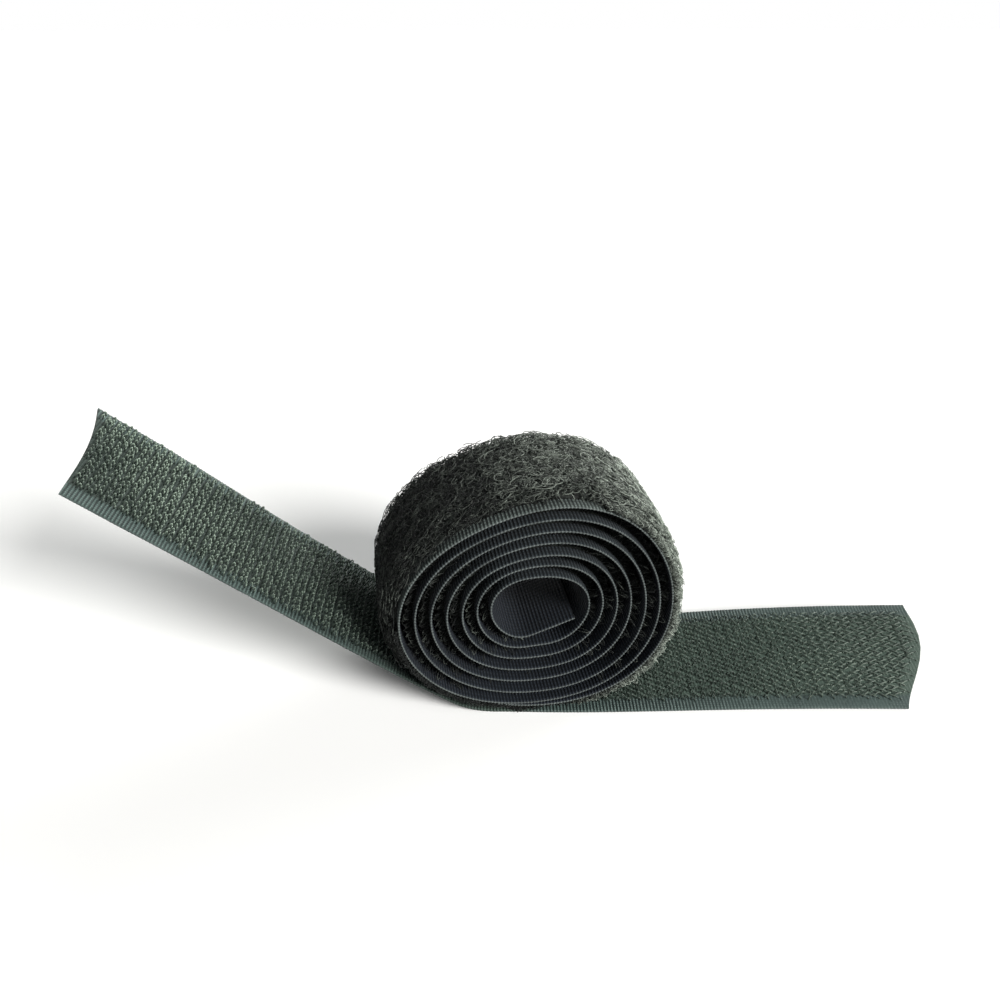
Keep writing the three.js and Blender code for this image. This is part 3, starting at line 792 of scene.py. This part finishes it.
def lying(at, across, lift, reach, pale, chance):
    """Curls: part of a ring whose radius swells as a sine, squeezed to one side and turned by a random heading.
    Long curls go less far round. The ring is tilted, so that its height is the lift plus a share of its cosine."""
    count = len(at)
    t = np.linspace(0, 1, LOOP_RINGS)[None, :]
    sweep = chance.uniform(*CURL_SWEEP, count) * np.clip(1.6 - 0.35 * reach, 0.5, 1)
    angle = chance.uniform(0, ANY_PHASE, count)[:, None] + sweep[:, None] * t
    bumps = np.sin(ANY_PHASE * t + chance.uniform(0, ANY_PHASE, count)[:, None])
    swell = reach[:, None] * (1 + CURL_SWELL * bumps)
    squeeze = chance.uniform(*CURL_SQUEEZE, count)[:, None]
    heading = chance.uniform(0, ANY_PHASE, count)[:, None]
    ahead, aside = swell * np.cos(angle), squeeze * swell * np.sin(angle)
    forward = ahead * np.cos(heading) - aside * np.sin(heading)
    sideways = ahead * np.sin(heading) + aside * np.cos(heading)
    tilt = chance.uniform(*CURL_TILT, count)[:, None] * np.minimum(reach, TILTED_REACH)[:, None]
    up = lift[:, None] + tilt * np.cos(angle + chance.uniform(0, ANY_PHASE, count)[:, None])
    plane = (np.zeros(count), np.zeros(count), np.ones(count))
    return strands(at, across, forward, sideways, up, plane, CURL_THREAD, pale, chance)


def painted_light_round_roll(angle):
    """Brightness of the outer pile round the roll, painted light and shade: less on its left, straight with the
    cosine, and more on its right, as a fourth power of the cosine."""
    left = np.clip(0.26 - 1.9 * np.cos(angle), 0, 1)
    return 1 - 0.52 * left + 1.8 * np.clip(np.cos(angle), 0, 1) ** 4


def on_right(angle):
    """1 on the roll's right, falling straight with the cosine to 0 at its top and bottom."""
    return np.clip(1.5 * np.cos(angle), 0, 1)


def add_loops(name, mesh):
    """One piece of loops that rides with the roll."""
    piece = make_piece(name, mesh[0], mesh[1], pile_loops, shade=mesh[2])
    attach(piece, "loop_roll")
    return piece


def angle_at(at):
    """Angle round the eye at a length along the winding."""
    return angle_of(np.interp(at, length, turn))


def room_at(at):
    """Height that the pile has at a length along the winding."""
    return np.interp(at, mat_length, room)


pile_loops = pile_material("pile_loops", tint(20, 23, 22), tint(158, 167, 157), 0.75, 1.75)
chance = np.random.default_rng(LOOP_SEED)

# Tufts of standing loops on the outermost turn, combed back on its right
OUTER_TURN = 1.03
OUTER_TUFTS = 1900
LOOPS_PER_TUFT = 5
OUTER_PIECES = 4
TUFTS_FROM, TUFT_LOOPS_FROM = 0.3, 3
TUFTS_PAST_PILE = 0.3
TUFT_SPREAD = 0.65
TUFT_LEAN = 0.5
LOOP_LEAN = 0.4
COMBED = 0.9
EDGE_LEAN = 0.25
EDGE_LEAN_RAMP = (8.6, 1.4)
TUFT_TALL = (0.5, 0.78)
EDGE_SHORTER = 0.3
EDGE_SHORTER_RAMP = (8.2, 1.7)
WIDEST_TUFT_LOOP = 1.6
TUFT_WIDE = (0.7, 1.4)
outer_run = np.interp(OUTER_TURN, turn, length)
tuft_at = chance.uniform(TUFTS_FROM, outer_run, OUTER_TUFTS)
tuft_across = chance.uniform(-PILE_HALF, PILE_HALF, OUTER_TUFTS)
tuft_lean = chance.normal(0, TUFT_LEAN, (OUTER_TUFTS, 2))
member = np.repeat(np.arange(OUTER_TUFTS), LOOPS_PER_TUFT)
at = np.clip(tuft_at[member] + chance.normal(0, TUFT_SPREAD, len(member)), TUFT_LOOPS_FROM, outer_run)
across = tuft_across[member] + chance.normal(0, TUFT_SPREAD, len(member))
across = np.clip(across, -PILE_HALF - TUFTS_PAST_PILE, PILE_HALF + TUFTS_PAST_PILE)
lean = np.clip(tuft_lean[member] + chance.normal(0, LOOP_LEAN, (len(member), 2)), -1, 1)
lean[:, 1] += np.sign(across) * EDGE_LEAN * ramp(np.abs(across), *EDGE_LEAN_RAMP)
angle = angle_at(at)
lean[:, 0] -= COMBED * on_right(angle)
free = room_at(at)
shorter = EDGE_SHORTER * ramp(np.abs(across), *EDGE_SHORTER_RAMP)
tall = free * chance.uniform(*TUFT_TALL, len(member)) * (1 - shorter)
wide = np.minimum(WIDEST_TUFT_LOOP, free) * chance.uniform(*TUFT_WIDE, len(member))
for number, chosen in enumerate(np.array_split(np.argsort(at), OUTER_PIECES)):
    size, pale = (tall[chosen], wide[chosen]), painted_light_round_roll(angle[chosen])
    loops = standing(at[chosen], across[chosen], *size, *lean[chosen].T, pale, chance)
    add_loops(f"loop_tape_pile_outer_{number + 1}", loops)

# Curls over them, which go past the near edge of the pile on the roll's left
LYING_CURLS = 9000
CURL_PIECES = 3
CURLS_FROM = 4
CURLS_PAST_PILE = 0.2
CURLS_OVER_SELVEDGE = 1.3
CURL_LIFT = (0.66, 0.84)
CURL_EDGE_DROP = 0.72
CURL_EDGE_RAMP = (8.7, 2.4)
SMALLEST_CURL, LARGEST_CURL = 0.4, 2.6
CURL_GROWTH = 0.5
CURL_COMBED = 0.35
CURL_PALE = 1.1
at = np.sort(chance.uniform(CURLS_FROM, outer_run, LYING_CURLS))
angle = angle_at(at)
near_side = PILE_HALF + CURLS_PAST_PILE + CURLS_OVER_SELVEDGE * np.clip(-np.cos(angle + LEFT_SWELL_TURN), 0, 1)
across = -near_side + (near_side + PILE_HALF + CURLS_PAST_PILE) * chance.random(LYING_CURLS)
free = room_at(at)
drop = CURL_EDGE_DROP * ramp(np.abs(across), *CURL_EDGE_RAMP)
lift = free * chance.uniform(*CURL_LIFT, LYING_CURLS) * (1 - drop)
reach = (SMALLEST_CURL + chance.exponential(CURL_GROWTH, LYING_CURLS)) * (1 - CURL_COMBED * on_right(angle))
reach = np.minimum(reach, np.minimum(LARGEST_CURL, 0.8 * free + 0.2))
for number, chosen in enumerate(np.array_split(np.arange(LYING_CURLS), CURL_PIECES)):
    pale = CURL_PALE * painted_light_round_roll(angle[chosen])
    curls = lying(at[chosen], across[chosen], lift[chosen], reach[chosen], pale, chance)
    add_loops(f"loop_tape_pile_curls_{number + 1}", curls)

# Loops in the gaps between the inner turns, at the near and the far edge, painted darker as shade in the gaps
EDGE_LOOPS = 2100
EDGE_LOOPS_SHADED_PALE = 0.37
EDGE_DEPTH = 0.8
EDGE_TALL = (0.5, 1.0)
EDGE_WIDE = (0.6, 1.1)
EDGE_WIDTH = 0.9
EDGE_LEAN_ALONG = 0.35
EDGE_LEAN_OUT = (-0.1, 0.6)
for number, edge_sign in enumerate((-1, 1)):
    at = chance.uniform(outer_run, length[-1] - 1, EDGE_LOOPS)
    across = edge_sign * (PILE_HALF - chance.exponential(EDGE_DEPTH, EDGE_LOOPS))
    tall = room_at(at) * chance.uniform(*EDGE_TALL, EDGE_LOOPS)
    wide = EDGE_WIDTH * chance.uniform(*EDGE_WIDE, EDGE_LOOPS)
    lean_along = chance.normal(0, EDGE_LEAN_ALONG, EDGE_LOOPS)
    lean_across = edge_sign * chance.uniform(*EDGE_LEAN_OUT, EDGE_LOOPS)
    loops = standing(at, across, tall, wide, lean_along, lean_across, EDGE_LOOPS_SHADED_PALE, chance)
    add_loops(f"loop_tape_pile_edge_{number + 1}", loops)

# Stray loops that lean out of the gaps, most of them at the roll's left and right, painted darker as shade
STRAY_LOOPS = 800
STRAY_SHADED_PALE = 0.5
STRAY_NEAR_SHARE = 0.7
STRAYS_TO_END = 8
STRAY_ACROSS = (9.2, 10.2)
STRAY_TALL = (0.6, 0.95)
STRAY_WIDE = (0.7, 1.2)
STRAY_LEAN_ALONG = 0.4
STRAY_LEAN_OUT = (0.4, 1.3)
at = chance.uniform(outer_run, length[-1] - STRAYS_TO_END, 3 * STRAY_LOOPS)
facing = np.abs(np.cos(angle_at(at)))
at = at[np.argsort(-facing * chance.uniform(0.3, 1, len(at)))[:STRAY_LOOPS]]
edge_sign = np.where(chance.random(STRAY_LOOPS) < STRAY_NEAR_SHARE, -1, 1)
across = edge_sign * chance.uniform(*STRAY_ACROSS, STRAY_LOOPS)
tall = room_at(at) * chance.uniform(*STRAY_TALL, STRAY_LOOPS)
wide = chance.uniform(*STRAY_WIDE, STRAY_LOOPS)
lean_along = chance.normal(0, STRAY_LEAN_ALONG, STRAY_LOOPS)
lean_across = edge_sign * chance.uniform(*STRAY_LEAN_OUT, STRAY_LOOPS)
strays = standing(at, across, tall, wide, lean_along, lean_across, STRAY_SHADED_PALE, chance)
add_loops("loop_tape_pile_strays", strays)

# Fringe over the near selvedge: from the outer end under the roll round to its upper right, brushed up at its
# lower right, and again at its lower left. Its brightness is painted light and shade: dark under the roll and at
# its lower left, palest at its lower right. Its places are given in turns from the outer end.
FRINGE_LOOPS = 3000
FRINGE_FIRST = (0.02, 0.48)
FRINGE_LAST = (0.80, 1.02)
FRINGE_ACROSS = (9.8, 12.3)
FRINGE_TALL = (0.7, 1.35)
FRINGE_WIDE = (0.8, 1.4)
FRINGE_LEAN_ALONG = 0.5
FRINGE_LEAN_OUT = (0.1, 0.8)
FRINGE_RISE_RAMP = (0.1, 0.1)
FRINGE_FALL_RAMP = (0.5, -0.15)
LAST_FRINGE_SHADED_PALE = 0.25
first_loops = chance.uniform(*FRINGE_FIRST, 3 * FRINGE_LOOPS // 4)
fringe_turn = np.concatenate([first_loops, chance.uniform(*FRINGE_LAST, FRINGE_LOOPS // 4)])
at = np.interp(fringe_turn, turn, length)
rising = ramp(fringe_turn, *FRINGE_RISE_RAMP)
brushed = rising * ramp(fringe_turn, *FRINGE_FALL_RAMP)
across = -chance.uniform(*FRINGE_ACROSS, FRINGE_LOOPS)
tall = chance.uniform(*FRINGE_TALL, FRINGE_LOOPS) * (0.8 + 0.35 * brushed)
wide = chance.uniform(*FRINGE_WIDE, FRINGE_LOOPS)
lean_along = chance.normal(0, FRINGE_LEAN_ALONG, FRINGE_LOOPS)
lean_across = -chance.uniform(*FRINGE_LEAN_OUT, FRINGE_LOOPS)
# Painted light and shade: dark under the roll, palest on the lower right, dim at the lower left
pale = np.where(fringe_turn < 0.5, 0.3 + 0.8 * rising + 1.1 * brushed, LAST_FRINGE_SHADED_PALE)
fringe = standing(at, across, tall, wide, lean_along, lean_across, pale, chance)
add_loops("loop_tape_pile_fringe", fringe)


# ---------------------------------------------------------------- Hooks
# The hooks are stiff nylon monofilaments woven in as loops and cut on one side, so that each leaves a bent hook
# and a short stub. They stand in staggered rows, and pairs of rows slant to either side. Towards the right cut
# they are pressed flat into chevrons, and under the roll they are pressed low.
HOOK_SEED = 11
HOOK_SIDES = 4
HOOK_PAIR_PITCH = 2.0
HOOK_PAIR_GAP = 0.86
HOOK_COLUMNS = 19
HOOK_ACROSS_PITCH = 1.3
FIRST_COLUMN = 3.0
HOOK_RADIUS = 0.125
# Points of a hook and of its stub, as shares of the reach and of the rise
HOOK_PATH = ((0, 0), (0.02, 0.4), (0.06, 0.78), (0.22, 1.1), (0.5, 1.26), (0.78, 1.16), (0.95, 0.92), (1.0, 0.7))
STUB_PATH = ((1.46, 0), (1.42, 0.42), (1.3, 0.85))
HOOK_TOP = 1.26
HOOK_MIDDLE = 0.6
HOOKS_FROM_FAR_EDGE = {"left": 0.8, "right": 2.0}
HOOKS_TO_CUT = {"left": 0.35, "right": 1.7}
HOOKS_OVER_SELVEDGE = {"left": 2.1, "right": 0.6}
# Each side's range of hook brightness, random per hook and a painted glint, brighter on the left end. Below it, the
# share of that brightness at the feet: the tops carry the painted glint, and on the left the feet lie in painted
# shade.
HOOK_TONE_AND_GLINT = {"left": (0.4, 0.72), "right": (0.28, 0.37)}
HOOK_FOOT = {"left": 0.1, "right": 0.9}
HOOK_RISE = {"left": 1.0, "right": 0.72}
HOOK_REACH = {"left": 0.4, "right": 0.5}
UPRIGHT_SLANT = 16.0
PRESSED_SLANT = 23.0
PRESSED_REACH = 1.15
PRESSED_LOWER = 0.6
FORWARD_SHARE = 0.93
ACROSS_SCATTER = 0.14
LENGTH_SCATTER = 0.1
REACH_SCATTER = 0.06
RISE_SCATTER = 0.07
SLANT_SCATTER = 20
PRESSED_STEADIER = 15
FAR_ROWS_LOWER = 0.4
UNLIT = 0.5
ROLL_SHADOW_DIM = 0.6
FOOT_LIFT = 0.02
ROLL_CLEAR = 0.45
LOWEST_RISE = 0.25
# Places where something starts, and how far it runs until it is whole
PRESSED_RAMP = (50.0, 18.0)
FAR_ROWS_RAMP = (22.0, 1.5)
FROM_ROLL_RAMP = (-15.0, -25.0)
FROM_CUT_RAMP = (-85.0, 20.0)
LIT_RAMP = (18.0, 50.0)
ROLL_SHADOW_RAMP = (54.0, -18.0)
NEAR_SIDE_RAMP = (17.0, -8.0)


def join(parts):
    """Points and faces of several meshes as one."""
    faces, start = [], 0
    for points, part_faces in parts:
        faces += [face + start for face in part_faces]
        start += len(points)
    return np.concatenate([points for points, _ in parts]), faces


# The filament runs from a dark colour to a pale one by the shade attribute, which carries the painted glint at the
# hooks' tops and painted shade at their feet and by the roll.
hook_plastic, tree = new_material("hook_filament")
place = add_node(tree, "TexCoord").outputs["Object"]
shaft = add_node(tree, "Attribute", attribute_name="shade").outputs["Fac"]
weight = maths(tree, "MULTIPLY_ADD", noise(tree, place, 900, 2), 0.6, noise(tree, place, 60, 2))
glint_share = maths(tree, "MULTIPLY", shaft, ranged(tree, weight, 0.45, 1.0))
dress(tree, between(tree, glint_share, tint(34, 44, 39), tint(158, 176, 160)), 0.4, 0.35)

outer_line = line[turn < 1.1][::4]
outer_turn = roll_place(outer_line[:, 0], 0 * outer_line[:, 0], outer_line[:, 1])
chance = np.random.default_rng(HOOK_SEED)
for side, cut, towards, end_body, start, end, _ in STRIP_PARTS:
    # Staggered places, a little uneven, which on the left spread over the near selvedge between roll and cut
    rows = np.arange(2 * int(max(cut[:2]) / HOOK_PAIR_PITCH) + 4)
    row, column = (grid.ravel() for grid in np.meshgrid(rows, np.arange(HOOK_COLUMNS), indexing="ij"))
    across = FIRST_COLUMN + HOOK_ACROSS_PITCH * (column + 0.5 * (row % 2))
    length = towards * (HOOK_PAIR_PITCH * (row // 2 + 0.5) + HOOK_PAIR_GAP * (row % 2 - 0.5))
    spread = ramp(length, *FROM_ROLL_RAMP) * ramp(length, *FROM_CUT_RAMP) if side == "left" else 1
    across = across + chance.normal(0, ACROSS_SCATTER, len(row)) - HOOKS_OVER_SELVEDGE[side] * spread
    length = length + chance.normal(0, LENGTH_SCATTER, len(row))
    inside = across < TAPE_WIDTH - HOOKS_FROM_FAR_EDGE[side]
    inside &= np.abs(length) < cut_length(cut, across) - HOOKS_TO_CUT[side]
    row, across, length = row[inside], across[inside], length[inside]
    count = len(row)

    # Slant, reach and rise of each hook, and no more rise than there is room under the roll
    point, along, sideways, up = strip_frame(length, across)
    foot = point + up * (STRIP_THICKNESS + FOOT_LIFT)
    clear = np.hypot(foot[:, :1] - outer_turn[:, 0], foot[:, 2:] - outer_turn[:, 2]).min(1) - ROLL_CLEAR
    flat = ramp(length, *PRESSED_RAMP)
    slant = (UPRIGHT_SLANT + (PRESSED_SLANT - UPRIGHT_SLANT) * flat) * np.where(row % 2, 1, -1)
    slant = np.radians(slant + chance.normal(0, 1, count) * (SLANT_SCATTER - PRESSED_STEADIER * flat))
    reach = HOOK_REACH[side] + PRESSED_REACH * flat + chance.normal(0, REACH_SCATTER, count)
    rise = (HOOK_RISE[side] + chance.normal(0, RISE_SCATTER, count)) * (1 - PRESSED_LOWER * flat)
    rise *= 1 - FAR_ROWS_LOWER * ramp(across, *FAR_ROWS_RAMP)
    rise = np.minimum(rise, np.maximum(clear / HOOK_TOP, LOWEST_RISE))
    forward = along * np.cos(slant)[:, None] + sideways * np.sin(slant)[:, None]
    forward = forward * np.where(chance.random(count) < FORWARD_SHARE, 1, -1)[:, None]
    plane = np.cross(forward, up)

    # Brightness, painted light and shade: dimmer by the roll as a painted roll shadow, most of all on its near side,
    # and paler towards the tips as a painted glint
    lit = UNLIT + (1 - UNLIT) * ramp(np.abs(length), *LIT_RAMP)
    bright = chance.uniform(*HOOK_TONE_AND_GLINT[side], count) * lit
    bright *= 1 - ROLL_SHADOW_DIM * ramp(np.abs(length), *ROLL_SHADOW_RAMP) * ramp(across, *NEAR_SIDE_RAMP)
    parts, shades = [], []
    for path in (HOOK_PATH, STUB_PATH):
        path = np.array(path)
        ahead = forward[:, None] * (path[:, 0] - HOOK_MIDDLE)[None, :, None] * reach[:, None, None]
        curve = foot[:, None] + ahead + up[:, None] * path[:, 1][None, :, None] * rise[:, None, None]
        tubes = tubes_along(curve, plane, HOOK_RADIUS, HOOK_SIDES)
        parts.append((tubes, tube_faces(count, len(path), HOOK_SIDES)))
        rising = HOOK_FOOT[side] + (1 - HOOK_FOOT[side]) * (path[:, 1] / path[:, 1].max()) ** 2
        shades.append(np.repeat((bright[:, None] * rising).ravel(), HOOK_SIDES))
    points, faces = join(parts)
    hooks = make_piece(f"hook_tape_{side}_hooks", points, faces, hook_plastic, shade=np.concatenate(shades))
    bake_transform(hooks)
    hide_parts(f"hook_tape_{side}_end_hooks", "hook_tape_base_bed", "hook_tape_base_hooks")
